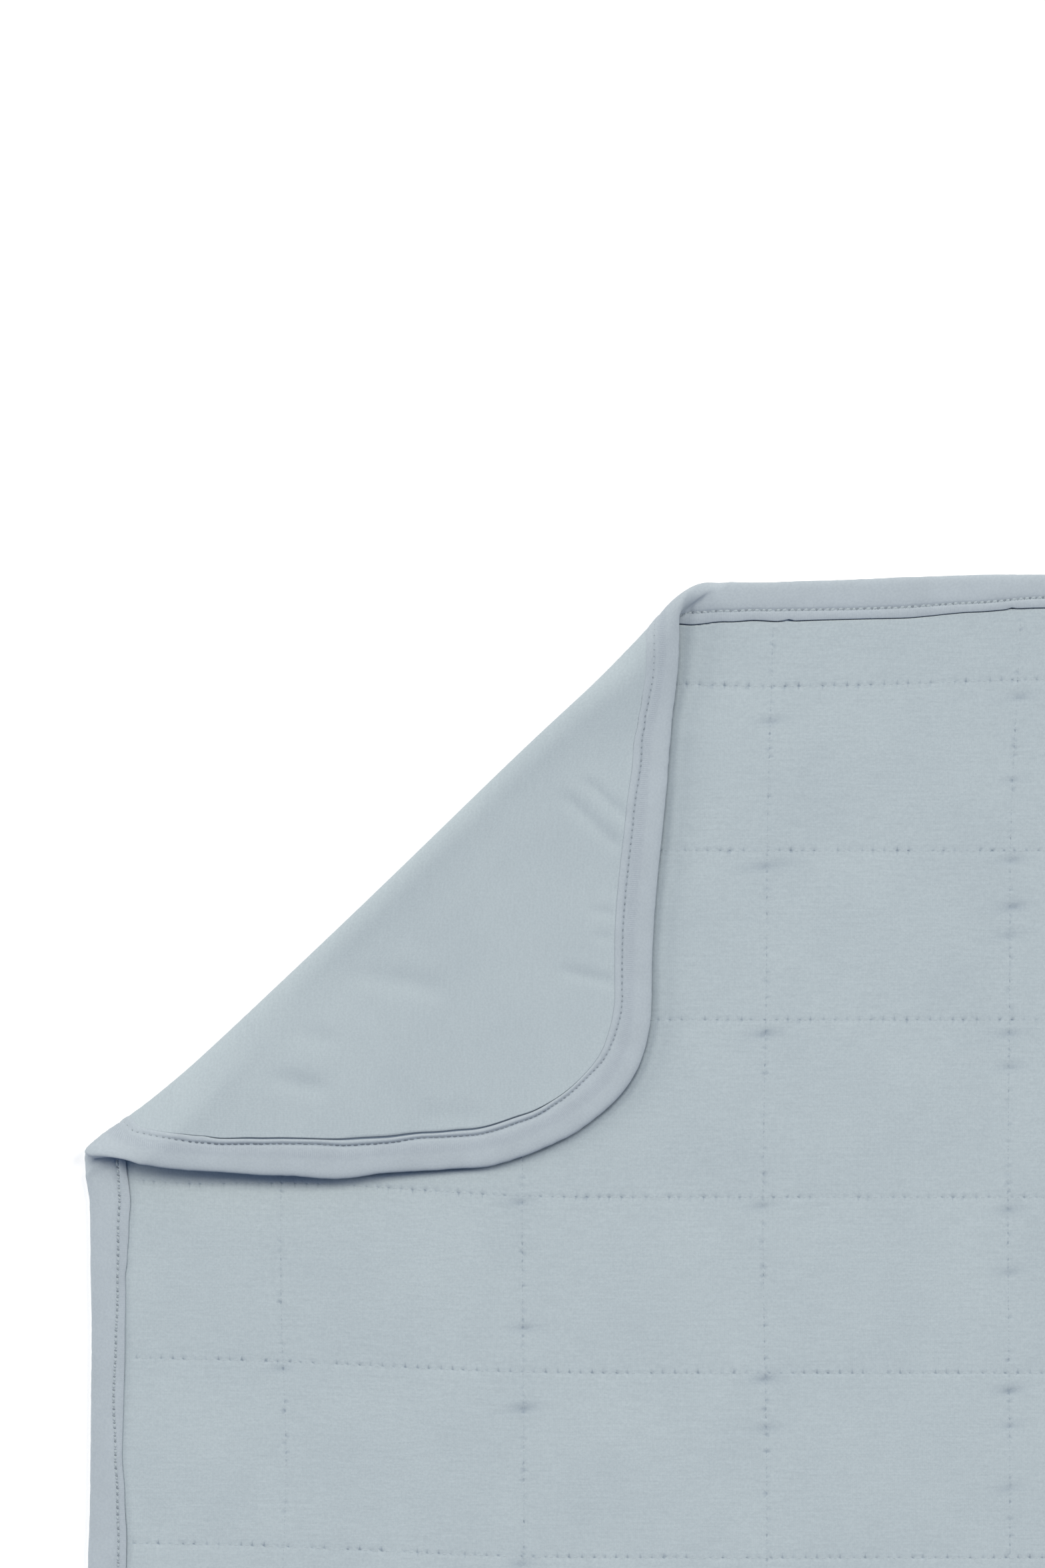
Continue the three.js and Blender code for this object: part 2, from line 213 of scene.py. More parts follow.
# carries a point of the flat blanket, h above its underside, to where it lies
def lay(x, y, h):
    x, y, h = np.broadcast_arrays(np.asarray(x, float), np.asarray(y, float), np.asarray(h, float))
    radius = fold["radius"]
    run = (x - foldFoot[0]) * foldRun[0] + (y - foldFoot[1]) * foldRun[1]
    past = pastFold(x, y)
    turn = past / radius
    reach = (radius - h) * (1 + fold["square"] * np.sin(2 * np.clip(turn, 0, math.pi)) ** 2)
    left = easeTurn - (past - loopLength) / easeRadius
    inLoop = (past > 0) & (past <= loopLength)
    inEase = (past > loopLength) & (left > 0)
    onFlap = (past > loopLength) & (left <= 0)
    stretches = [inLoop, inEase, onFlap]
    t = np.select(stretches, [
        reach * np.sin(turn),
        easeCentreT + (easeRadius + h) * np.sin(left),
        easeCentreT - (past - loopLength - easeLength),
    ], past)
    z = np.select(stretches, [
        radius - reach * np.cos(turn),
        easeCentreZ - (easeRadius + h) * np.cos(left),
        fold["flapHeight"] - h,
    ], h)
    planX, planY = fromFold(run, t)
    laid = np.stack([planX, planY, z], axis=-1)
    for pull in drifts.values():
        laid = laid + driftAt(pull, planX, planY)
    for *pull, (start, over) in flapDrifts.values():
        taken = ease((past - start * loopLength) / over)
        laid = laid + driftAt(pull, planX, planY) * taken[..., None]
    laid[..., 2] += swellBehindFold(past, run)
    settled = ease((past - loopLength) / fold["settles"])
    laid[..., 2] -= creaseAt(flapCreases, laid[..., 0], laid[..., 1], creaseShape["flapEnds"]) * settled
    nips = creaseAt(edgeCreases, laid[..., 0], laid[..., 1], creaseShape["edgeEnds"])
    laid[..., 2] -= nips * (past < radius) * (h > quiltFloor)
    laid[..., 2] = np.maximum(laid[..., 2], layers["floor"])
    return laid


def flatPlace(laidX, laidY):
    x, y = np.array(laidX, float), np.array(laidY, float)
    for _ in range(3):  # closer each time round
        moved = sum(driftAt(pull, x, y) for pull in drifts.values())
        x = laidX - moved[..., 0]
        y = laidY - moved[..., 1]
    return x, y


# the rounded outline, and how far in from it a point lies

sideWide = blanket["wide"] - 2 * cornerRadius
sideLong = blanket["long"] - 2 * cornerRadius
cornerArc = cornerRadius * math.pi / 2
sideLengths = [sideWide, cornerArc, sideLong, cornerArc, sideWide, cornerArc, sideLong, cornerArc]
sideStarts = np.concatenate([[0], np.cumsum(sideLengths)])
outlineLength = sideStarts[-1]
innerWide = halfWide - cornerRadius
innerLong = halfLong - cornerRadius
# each side's first point and direction, each corner's centre and starting angle, anticlockwise from the foot
sideFrom = np.array(
    [[-innerWide, -halfLong], [halfWide, -innerLong], [innerWide, halfLong], [-halfWide, innerLong]])
sideAlong = np.array([[1, 0], [0, 1], [-1, 0], [0, -1]])
cornerCentre = np.array(
    [[innerWide, -innerLong], [innerWide, innerLong], [-innerWide, innerLong], [-innerWide, -innerLong]])
cornerAngle = np.array([-0.5, 0.0, 0.5, 1.0]) * math.pi


def outlineAt(along, inset):
    along, inset = np.broadcast_arrays(np.asarray(along, float), np.asarray(inset, float))
    along = np.mod(along, outlineLength)
    part = np.clip(np.searchsorted(sideStarts, along, side="right") - 1, 0, len(sideLengths) - 1)
    run = along - sideStarts[part]
    which = part // 2
    forward = sideAlong[which]
    straightX = sideFrom[which, 0] + forward[..., 0] * run - forward[..., 1] * inset
    straightY = sideFrom[which, 1] + forward[..., 1] * run + forward[..., 0] * inset
    angle = cornerAngle[which] + run / cornerRadius
    roundX = cornerCentre[which, 0] + (cornerRadius - inset) * np.cos(angle)
    roundY = cornerCentre[which, 1] + (cornerRadius - inset) * np.sin(angle)
    onCorner = part % 2 == 1
    return np.where(onCorner, roundX, straightX), np.where(onCorner, roundY, straightY)


def insetAt(x, y):
    overX = np.abs(x) - innerWide
    overY = np.abs(y) - innerLong
    outside = np.hypot(np.maximum(overX, 0), np.maximum(overY, 0))
    return cornerRadius - outside - np.minimum(np.maximum(overX, overY), 0)


def alongAt(x, y):
    overX = np.abs(x) - innerWide
    overY = np.abs(y) - innerLong
    low, right = y < 0, x > 0
    which = np.select([right & low, right, ~low], [0, 1, 2], 3)
    angle = np.arctan2(y - cornerCentre[which, 1], x - cornerCentre[which, 0]) - cornerAngle[which]
    onCorner = sideStarts[2 * which + 1] + cornerRadius * np.mod(angle, 2 * math.pi)
    onFoot = np.where(low, innerWide + x, sideStarts[4] + innerWide - x)
    onFlank = np.where(right, sideStarts[2] + innerLong + y, sideStarts[6] + innerLong - y)
    onSide = np.where(overX > overY, onFlank, onFoot)
    return np.where((overX > 0) & (overY > 0), onCorner, onSide)


# meshes from arrays; a set of points is a pair of rows, across and along

meshing = {
    "sharp": 75.0,              # edges sharper than this stay sharp
    "rimStep": 6.0,
    "bendMargin": 6.0,          # the fine grid goes this far past the fold
    "lipClear": 3.4,            # open cloth starts this far behind the binding's lip
    "hiddenGrid": (14.0, 2.0, 9.0, 12.0),   # spacing, the same across and along the bend, how far in
    "meetsWithin": 1e-5,        # points closer than this are one
}


def clothObject(name, points, faces, place, shade):
    mesh = bpy.data.meshes.new(name)
    mesh.from_pydata((points * mm).tolist(), [], faces)
    mesh.polygons.foreach_set("use_smooth", np.ones(len(mesh.polygons), bool))
    mesh.set_sharp_from_angle(angle=math.radians(meshing["sharp"]))
    flat = mesh.attributes.new("clothPlace", "FLOAT_VECTOR", "POINT")
    flat.data.foreach_set("vector", (place * mm).astype(np.float32).ravel())
    # this attribute holds painted shade: how far each point's colour is darkened in slits, seams, slots,
    # puckers and needle holes
    paintedShade = mesh.attributes.new("paintedShade", "FLOAT", "POINT")
    paintedShade.data.foreach_set("value", shade.astype(np.float32))
    mesh.update()
    made = bpy.data.objects.new(name, mesh)
    bpy.context.scene.collection.objects.link(made)
    print(name, len(points), "points", sum(len(face) - 2 for face in faces), "triangles")
    return made


def thinOut(places, apart):
    cells = np.round(places / apart).astype(np.int64)
    first = np.unique(cells, axis=1, return_index=True)[1]
    return places[:, np.sort(first)]


def coverRing(ring, places):
    count = ring.shape[1]
    ringEdges = [(i, (i + 1) % count) for i in range(count)]
    corners = [Vector(p) for p in np.concatenate([ring, places], axis=1).T.tolist()]
    found = delaunay_2d_cdt(corners, ringEdges, [], 1, meshing["meetsWithin"])
    if len(found[0]) != len(corners):
        print("cover changed its points", len(corners), len(found[0]))
    x = np.array([p.x for p in found[0]])
    y = np.array([p.y for p in found[0]])
    return x, y, [list(face) for face in found[2]]


def unshaded(x, y):
    return np.zeros(len(x))


# a closed sheet of cloth: each side gives its points, height and shade
def panel(name, rim, upper, lower):
    count = int(outlineLength / meshing["rimStep"])
    ring = np.stack(outlineAt(np.arange(count) * outlineLength / count, rim))
    upX, upY, upFaces = coverRing(ring, upper["points"])
    downX, downY, downFaces = coverRing(ring, lower["points"])
    start = len(upX)
    faces = upFaces + [[start + i for i in reversed(face)] for face in downFaces]
    for i in range(count):
        j = (i + 1) % count
        faces.append([i, start + i, start + j, j])
    x = np.concatenate([upX, downX])
    y = np.concatenate([upY, downY])
    h = np.concatenate([upper["height"](upX, upY), lower["height"](downX, downY)])
    dark = np.concatenate([upper["shade"](upX, upY), lower["shade"](downX, downY)])
    return clothObject(name, lay(x, y, h), faces, np.stack([x, y, h], axis=-1), dark)


# rows of points along the fold, close together where the cloth bends
def foldGrid(coarse, bendStep, bendAlong, keepIn):
    reach = math.hypot(blanket["wide"], blanket["long"])
    bendStart = -meshing["bendMargin"]
    bendEnd = loopLength + easeLength + meshing["bendMargin"]
    places = []
    for low, high, step, runStep in [
        (-reach, bendStart, coarse, coarse),
        (bendStart, bendEnd, bendStep, bendAlong),
        (bendEnd, reach, coarse, coarse),
    ]:
        across = np.arange(low + step / 2, high, step)
        past, run = np.meshgrid(across, np.arange(-reach, reach, runStep))
        run = run + np.where(np.arange(len(across)) % 2, runStep / 2, 0)
        places.append(np.stack([run.ravel(), past.ravel()]))
    places = np.stack(fromFold(*np.concatenate(places, axis=1)))
    return places[:, insetAt(*places) > keepIn]


waves = {"count": 5, "spread": 2.2}  # how many in a waver, and about how far they add up


def slowWaves(low, high, draw):
    turns = np.maximum(1, np.round(outlineLength / draw.uniform(low, high, waves["count"])))
    # whole waves, so the strip meets itself
    return list(zip(turns, draw.uniform(0, 2 * math.pi, waves["count"])))


def wander(along, swings, size):
    swung = [np.sin(2 * math.pi * turn * along / outlineLength + phase) for turn, phase in swings]
    return size * sum(swung) / waves["spread"]


# the binding's seam and lip, which the panels meet too

binding = {
    "hemInset": 20.0, "hemSettle": 26.0,        # the layers are drawn together between these
    "outerBand": 9.0,                           # the edge wavers within this
    "roll": 4.8, "square": 3.0,                 # the edge turns over within this, and how squarely
    "seamDeep": 0.3, "seamOpens": 0.4, "seamWide": 0.9,
    # painted shade along the seam's groove, stronger where the lip stands open
    "frontSeamDark": 0.2, "reverseSeamDark": 0.75, "seamDarkWide": 0.6,
    "pillow": 0.3,
    "puff": 0.1, "puffAt": 8.5, "puffWide": 3.0,
    "lipRise": 0.25, "lipRound": 0.5, "lipThins": 0.15, "lipThinsOpen": 0.2, "lipTurn": 0.25,
    "seamWaver": 0.2, "lipWaver": 0.25, "edgeWaver": 0.3, "edgeRipple": 0.14,
    # the slot's painted shade starts slotDarkEarly before its dip
    "slotStart": -0.6, "slotOpens": 0.7, "slotShuts": 1.6, "slotWide": 0.5, "slotDarkEarly": 0.05,
    "step": 2.8, "foldStep": 1.1, "foldMargin": 22.0,
    # small tucks in the top edge's lip
    "tucks": [{"at": 1976.0, "wide": 1.6, "bite": 1.1}, {"at": 1866.0, "wide": 2.2, "bite": 0.7}],
    # the strip's inside, from the reverse lip round to the front lip
    "insideInsets": (19.0, 14.0, 10.0, 6.5, 3.8, 2.6, 3.8, 6.5, 10.0, 14.0, 18.0),
    "insideHighs": (1.2, 1.2, 1.2, 1.25, 1.95, 3.1, 4.25, 4.95, 5.0, 5.0, 5.0),
}


def bindingRun(*rows):
    return [dict(zip(("at", "seam", "lip", "open", "pull"), row)) for row in rows]


# places along the outline: how far in the seam and the lip run, how far the lip stands open,
# and last, where it is given, how hard the flap pulls its stitches
frontRun = bindingRun(
    (1700, 12.6, 17.8, 0.55), (1852, 12.4, 17.3, 0.6), (1886, 14.1, 18.4, 0.75), (1924, 15.2, 20.4, 0.8),
    (1978, 14.7, 20.1, 0.8), (1991, 14.7, 19.4, 0.8), (2004, 15.6, 20.5, 0.85), (2022, 18.4, 23.8, 1.0),
    (2300, 15.2, 20.6, 0.5), (2589, 16.7, 20.6, 0.16), (2604, 16.1, 21.1, 0.18), (2619, 15.0, 20.1, 0.18),
    (2634, 14.8, 19.3, 0.13), (2642, 14.4, 18.3, 0.15), (2649, 14.4, 18.5, 0.08), (2674, 13.3, 18.1, 0.08),
    (2702, 12.1, 17.4, 0.08), (2731, 13.4, 16.8, 0.08), (2750, 14.7, 18.2, 0.16), (2775, 15.6, 19.5, 0.22),
    (2900, 14.5, 19.3, 0.18),
)
reverseRun = bindingRun(
    (2034, 17.0, 21.5, -1.0), (2060, 18.0, 23.0, -0.4), (2079, 17.7, 23.1, 0.1), (2089, 16.8, 21.6, 0.2),
    (2098, 15.0, 19.8, 0.3), (2117, 14.0, 18.6, 0.3), (2139, 15.2, 19.4, 0.25), (2196, 16.2, 20.6, 0.3),
    (2236, 15.8, 19.3, 0.3), (2264, 17.3, 20.0, 0.3), (2290, 18.6, 20.8, 0.35), (2314, 17.9, 20.4, 0.6),
    (2330, 17.2, 20.1, 1.1), (2346, 17.7, 20.7, 1.3), (2379, 16.8, 19.5, 1.6), (2400, 17.2, 19.2, 1.6),
    (2421, 15.6, 17.8, 1.8, 1.0), (2440, 16.3, 18.8, 1.6, 0.8), (2456, 16.9, 19.1, 1.1),
    (2474, 16.3, 18.6, 1.3), (2490, 15.7, 18.1, 1.3, 1.2), (2508, 14.9, 17.6, 0.9, 1.4),
    (2518, 15.5, 18.8, 0.5, 1.2), (2545, 16.7, 19.5, 0.1), (2560, 16.2, 19.8, -0.7),
    (2575, 15.8, 20.0, -1.0), (2700, 15.8, 20.0, 0.0),
)
edgeDraw = np.random.default_rng(blanket["seed"] + 1)
seamWaves = slowWaves(80, 220, edgeDraw)
lipWaves = slowWaves(80, 200, edgeDraw)
outerWaves = slowWaves(60, 220, edgeDraw)
puffWaves = slowWaves(14, 40, edgeDraw)
rippleWaves = slowWaves(9, 30, edgeDraw)


def runAt(run, along, what):
    places = np.array([row["at"] for row in run], float)
    values = np.array([row.get(what, 0.0) for row in run], float)
    along = np.mod(along, outlineLength)
    index = np.clip(np.searchsorted(places, along) - 1, 0, len(places) - 2)
    share = ease((along - places[index]) / (places[index + 1] - places[index]))
    return values[index] + (values[index + 1] - values[index]) * share


def seamAt(run, along):
    return runAt(run, along, "seam") + wander(along, seamWaves, binding["seamWaver"])


def openAt(run, along):
    return np.clip(runAt(run, along, "open"), 0, 1)


def seamDeepAt(run, along):
    return binding["seamDeep"] + binding["seamOpens"] * openAt(run, along)


def lipAt(run, along):
    lip = runAt(run, along, "lip") + wander(along, lipWaves, binding["lipWaver"])
    if run is frontRun:
        for tuck in binding["tucks"]:
            lip = lip - tuck["bite"] * hump(np.mod(along, outlineLength) - tuck["at"], tuck["wide"])
    return lip


def behindLip(run, x, y):
    return insetAt(x, y) - lipAt(run, alongAt(x, y))


# the slot beside the lip: full under the lip, none well behind it
def slotAt(run, x, y, early=0.0):
    stands = runAt(run, alongAt(x, y), "open")
    opens = np.where(stands > 0, binding["slotOpens"], binding["slotShuts"])
    start = binding["slotStart"] + opens * stands - early
    return 1 - ease((behindLip(run, x, y) - start) / binding["slotWide"])


# painted shadow in the slot beside the lip, stronger where the lip stands open
def slotShade(run, x, y):
    return slotAt(run, x, y, binding["slotDarkEarly"]) * openAt(run, alongAt(x, y))


def lipRings(run, behinds, low, high, step):
    along = np.linspace(low, high, int((high - low) / step), endpoint=False)
    return np.concatenate([outlineAt(along, lipAt(run, along) + behind) for behind in behinds], axis=1)


def hemClimb(x, y):
    settle = binding["hemSettle"]
    return np.clip((settle - insetAt(x, y)) / (settle - binding["hemInset"]), 0, 1) * seamFloor


# the quilted face, with its rows and columns of running stitch

quilting = {
    "rim": 6.0,
    "columnStart": -277.0, "columnPitch": 121.5, "columnCount": 6,
    "rowStart": 447.7,
    "rowGaps": [86.4, 84.6, 88.7, 88, 92.3, 88, 88, 88, 88, 88],
    "runEnds": 20.0,            # the stitches stop this far in
    "relief": 0.4,              # the filling sinks this much towards its stitched lines
    "channelShoulder": 34.0,
    "slot": 1.0,                # gap beside the binding's lip
    "pitchVaries": 0.05, "slantVaries": 6.0, "pullVaries": 0.35, "pullLimits": (0.1, 1.4),
    # the slit darkness is painted shade in the stitch slits
    "slitSquare": 1.3, "slitDark": 0.62,
    "groove": 0.08, "grooveWide": 2.2,
    "swell": 0.08, "swellCount": 14, "swellLengths": (45, 140),     # slow unevenness of the filling
    "lipClear": 0.8, "lipFade": 3.0,                                # the relief comes in behind the lip
    "thinnest": 0.5,
}
rowSewing = {
    "pitch": 5.9, "slit": (0.75, 0.38), "slitDeep": 0.45, "slant": -16.0, "pull": 0.82,
    "rings": ((0.0, 1), (0.75, 7), (1.5, 8)),           # of mesh round a stitch
    "threadGap": 1.6, "threadGirth": 0.3,
}
columnSewing = {
    "pitch": 4.2, "slit": (0.85, 0.3), "slitDeep": 0.35, "slant": 0.0, "pull": 0.5,
    "rings": ((0.0, 1), (0.8, 6), (1.6, 6)),
    "threadGap": 1.4, "threadGirth": 0.26,
}
quiltMesh = {
    "grain": 5.6, "rowShare": 0.87,     # spacing between the stitched lines
    "lineClear": 4.6,
    "besideLine": (-3.0, -1.4, 0.0, 1.4, 3.0), "slitReach": 2.0,
    "pinchX": (14, 2.0), "pinchY": (7, 1.4),    # reach and spacing round a pucker
    "closest": 0.45,
    "lipBehinds": (-3.0, -0.8, -0.3, -0.05, 0.2, 0.42, 0.75, 1.4, 2.5), "lipStep": 3.4,
}
# each pucker is a wide drawn dip with a small nip in its middle, both darkened with painted shade
pinching = {
    "slope": 0.12,
    "wide": 8.0, "long": 2.8, "nipWide": 2.6, "nipLong": 1.1,
    "drawnDeep": 0.4, "nipDeep": 0.4, "nipDark": 0.4, "drawnDark": 0.28,
}


def pinched(laidX, laidY, deep, wide=pinching["wide"]):
    x, y = (float(v) for v in flatPlace(laidX, laidY))
    return {"x": x, "y": y, "deep": deep, "wide": wide}


# pinched places on the columns, by where they lie on the laid blanket, and how deep
puckers = [pinched(*spot) for spot in (
    (-31.7, 425.7, 0.8), (92.7, 437.7, 0.8), (89.0, 396.3, 0.5), (-35.0, 353.0, 0.9, 13.0),
    (88.7, 356.3, 0.8), (89.3, 333.0, 1.2), (87.3, 318.7, 0.7), (-35.0, 269.3, 1.2),
    (87.3, 269.3, 0.8), (87.7, 252.7, 0.7), (-158.0, 185.0, 0.8), (-36.7, 183.3, 0.8),
    (86.7, 181.3, 0.8), (87.3, 150.3, 0.7), (-155.0, 122.3, 0.8), (-277.0, 102.0, 0.7),
    (-35.0, 96.7, 1.2), (87.3, 91.0, 1.2), (-155.7, 82.0, 1.2), (-34.3, 72.0, 0.7),
    (87.3, 73.3, 0.7), (86.7, 42.0, 0.7), (-157.3, 4.0, 0.8),
)]
columns = quilting["columnStart"] + quilting["columnPitch"] * np.arange(quilting["columnCount"])
rows = quilting["rowStart"] - np.concatenate([[0], np.cumsum(quilting["rowGaps"])])


def stitchRun(sewing, lines, half):
    pitch = sewing["pitch"]
    length = half - quilting["runEnds"]
    count = int(2 * length / pitch)
    shape = (len(lines), count)
    start = -length + pitch * chance.uniform(0.2, 0.8, len(lines))
    spread = chance.normal(0, quilting["pitchVaries"] * pitch, shape)
    slant = sewing["slant"] + chance.normal(0, quilting["slantVaries"], shape)
    deep = chance.normal(sewing["pull"], quilting["pullVaries"], shape)
    return {
        "sewing": sewing,
        "lines": lines,
        "start": start,
        "along": start[:, None] + pitch * np.arange(count) + spread,
        "slant": np.radians(slant),
        "deep": np.clip(deep, *quilting["pullLimits"]),
    }


rowRun = stitchRun(rowSewing, rows, halfWide)
columnRun = stitchRun(columnSewing, columns, halfLong)


def slitAt(run, along, across):
    line = np.argmin(np.abs(across[..., None] - run["lines"]), axis=-1)
    index = np.round((along - run["start"][line]) / run["sewing"]["pitch"]).astype(int)
    index = np.clip(index, 0, run["along"].shape[1] - 1)
    offAlong = along - run["along"][line, index]
    offAcross = across - run["lines"][line]
    slant = run["slant"][line, index]
    turnedAlong = offAlong * np.cos(slant) + offAcross * np.sin(slant)
    turnedAcross = offAcross * np.cos(slant) - offAlong * np.sin(slant)
    long, wide = run["sewing"]["slit"]
    reach = (turnedAlong / long) ** 2 + (turnedAcross / wide) ** 2
    return np.exp(-reach ** quilting["slitSquare"]) * run["deep"][line, index]


def slitsAt(x, y):
    return slitAt(rowRun, x, y), slitAt(columnRun, y, x)


swellWaves = [
    (chance.uniform(0, math.pi), chance.uniform(*quilting["swellLengths"]), chance.uniform(0, 2 * math.pi))
    for _ in range(quilting["swellCount"])]


def swellAt(x, y):
    total = np.zeros(np.shape(x))
    for turn, length, phase in swellWaves:
        total = total + np.sin((x * math.cos(turn) + y * math.sin(turn)) * 2 * math.pi / length + phase)
    return quilting["swell"] * total / (quilting["swellCount"] / 4)


def puckerAt(x, y):
    sunk = np.zeros(np.shape(x))
    dark = np.zeros(np.shape(x))
    for pucker in puckers:
        offX = x - pucker["x"]
        offY = y - pucker["y"] - pinching["slope"] * offX
        drawn = np.exp(-(offX / pucker["wide"]) ** 2 - (offY / pinching["long"]) ** 2)
        nip = np.exp(-(offX / pinching["nipWide"]) ** 2 - (offY / pinching["nipLong"]) ** 2)
        sunk = sunk + pucker["deep"] * (pinching["drawnDeep"] * drawn + pinching["nipDeep"] * nip)
        # painted shade in the pucker's nip and drawn dip
        dark = dark + pucker["deep"] * (pinching["nipDark"] * nip + pinching["drawnDark"] * drawn)
    return sunk, dark


# the turned-back corner presses into the quilt along its edge, with painted shadow in the pressed groove
flapPress = {
    # places along the outline, and how hard the flap presses there
    "places": (2046, 2082, 2250, 2300, 2444, 2480), "presses": (0, 0.4, 0.4, 1, 1, 0),
    # dark is the painted shadow along the flap's edge
    "inset": 0.8, "wide": 2.2, "deep": 1.2, "dark": 0.5,
    "step": 1.2, "pointStep": 2.2, "pointInsets": (1.6, 0.8, 0.3, -0.1, -0.6, -1.2, -2.0),
    "shares": 40,               # worked out in this many parts, to save memory
}


def flapEdge(inset, step):
    along = np.arange(flapPress["places"][0], flapPress["places"][-1], step)
    x, y = outlineAt(along, inset)
    return along, lay(x, y, bindingTop / 2)[:, :2]


def pressAt(x, y):
    along, edge = flapEdge(flapPress["inset"], flapPress["step"])
    held = np.interp(along, flapPress["places"], flapPress["presses"])
    laid = lay(x, y, quiltFloor)[..., :2]
    margin = flapPress["wide"]
    near = np.all((laid > edge.min(axis=0) - margin) & (laid < edge.max(axis=0) + margin), axis=-1)
    near &= pastFold(x, y) < 0
    share = np.zeros(np.shape(x))
    for part in np.array_split(np.argwhere(near), flapPress["shares"]):
        at = tuple(part.T)
        off = np.linalg.norm(laid[at][:, None] - edge, axis=-1)
        share[at] = np.max(held * (1 - ease(off / margin)), axis=1)
    return share


def pressPoints():
    places = [flapEdge(inset, flapPress["pointStep"])[1] for inset in flapPress["pointInsets"]]
    return np.stack(flatPlace(*np.concatenate(places).T))


def nearest(values, lines):
    return np.min(np.abs(np.asarray(values)[..., None] - lines), axis=-1)


def quiltUnder(x, y):
    return hemClimb(x, y) + quiltFloor


def quiltOver(x, y, slits=True):
    offRow = nearest(y, rows)
    offColumn = nearest(x, columns)
    shoulder = quilting["channelShoulder"]
    crown = ease(offRow / shoulder) * ease(offColumn / shoulder)
    level = quiltFloor + layers["crown"] - quilting["relief"] * (1 - crown)
    groove = quilting["groove"] * hump(offRow, quilting["grooveWide"])
    fine = swellAt(x, y) - groove - puckerAt(x, y)[0]
    if slits:
        rowShare, columnShare = slitsAt(x, y)
        fine = fine - rowSewing["slitDeep"] * rowShare - columnSewing["slitDeep"] * columnShare
        fine = fine - flapPress["deep"] * pressAt(x, y)
    away = ease((behindLip(frontRun, x, y) - quilting["lipClear"]) / quilting["lipFade"])
    top = level + fine * away - quilting["slot"] * slotAt(frontRun, x, y)
    return np.maximum(top, quiltUnder(x, y) + quilting["thinnest"])


# painted shade: stitch slits, puckers, the slot by the lip and the groove under the flap's edge are darkened
# in colour
def quiltShade(x, y):
    rowShare, columnShare = slitsAt(x, y)
    sewn = quilting["slitDark"] * np.clip(rowShare + columnShare + puckerAt(x, y)[1], 0, 1)
    return np.clip(sewn + slotShade(frontRun, x, y) + flapPress["dark"] * pressAt(x, y), 0, 1)


# rings of points round each stitch's dip, and points between the stitches
def slitPoints(run):
    places = []
    slant = run["slant"]
    long, wide = run["sewing"]["slit"]
    for radius, count in run["sewing"]["rings"]:
        for k in range(count):
            angle = 2 * math.pi * k / count
            stepAlong = radius * long * math.cos(angle)
            stepAcross = radius * wide * math.sin(angle)
            along = run["along"] + stepAlong * np.cos(slant) - stepAcross * np.sin(slant)
            across = run["lines"][:, None] + stepAcross * np.cos(slant) + stepAlong * np.sin(slant)
            places.append((along, across))
    line = np.broadcast_to(run["lines"][:, None], slant.shape)
    middle = run["along"] + run["sewing"]["pitch"] / 2
    for off in quiltMesh["besideLine"]:
        places.append((middle, line + off))
        if abs(off) > quiltMesh["slitReach"]:
            places.append((run["along"], line + off))
    return np.concatenate([np.reshape(place, (2, -1)) for place in places], axis=1)


def quiltPoints():
    step = quiltMesh["grain"]
    x, y = np.meshgrid(
        np.arange(-halfWide, halfWide, step), np.arange(-halfLong, halfLong, step * quiltMesh["rowShare"]))
    x = x + np.where(np.arange(x.shape[0]) % 2, step / 2, 0)[:, None]
    between = np.stack([x.ravel(), y.ravel()])
    offLine = np.minimum(nearest(between[1], rows), nearest(between[0], columns))
    (farX, stepX), (farY, stepY) = quiltMesh["pinchX"], quiltMesh["pinchY"]
    offs = np.meshgrid(np.arange(-farX, farX + 0.1, stepX), np.arange(-farY, farY + 0.1, stepY))
    offs = np.reshape(offs, (2, -1))
    places = np.concatenate([
        pressPoints(),
        slitPoints(rowRun),
        slitPoints(columnRun)[::-1],
        *[offs + [[pucker["x"]], [pucker["y"]]] for pucker in puckers],
        between[:, offLine > quiltMesh["lineClear"]],
    ], axis=1)
    inside = behindLip(frontRun, *places) > meshing["lipClear"]
    rings = lipRings(frontRun, quiltMesh["lipBehinds"], 0, outlineLength, quiltMesh["lipStep"])
    return np.concatenate([rings, thinOut(places[:, inside], quiltMesh["closest"])], axis=1)


hiddenPoints = foldGrid(*meshing["hiddenGrid"])
quiltedFace = panel(
    "quilted_face", quilting["rim"],
    {"points": quiltPoints(), "height": quiltOver, "shade": quiltShade},
    {"points": hiddenPoints, "height": quiltUnder, "shade": unshaded})


# the plain jersey back, which shows on the turned-back corner

plainBack = {
    "rim": 6.0,
    "grid": (6.4, 1.5, 6.0, 10.0),
    "creaseGrid": (2.2, 1.5, 2.2, 12.0), "creaseReach": 12.0,   # a finer grid beside the creases
    "closest": 1.3,
    "lipBehinds": (-3.0, -1.5, -0.9, -0.5, -0.2, 0.05, 0.28, 0.55, 0.85, 1.2, 2.4),
    # from and to along the outline, and the step
    "flapRings": (2000, 2620, 2.6), "restRings": (2624, outlineLength + 1996, 6.0),
}


def backUnder(x, y):
    low = layers["backUnder"]
    return low + (seamFloor - low) * slotAt(reverseRun, x, y)


# painted shadow in the slot beside the reverse lip
def backShade(x, y):
    return slotShade(reverseRun, x, y)


def backOver(x, y):
    return hemClimb(x, y) + layers["back"]


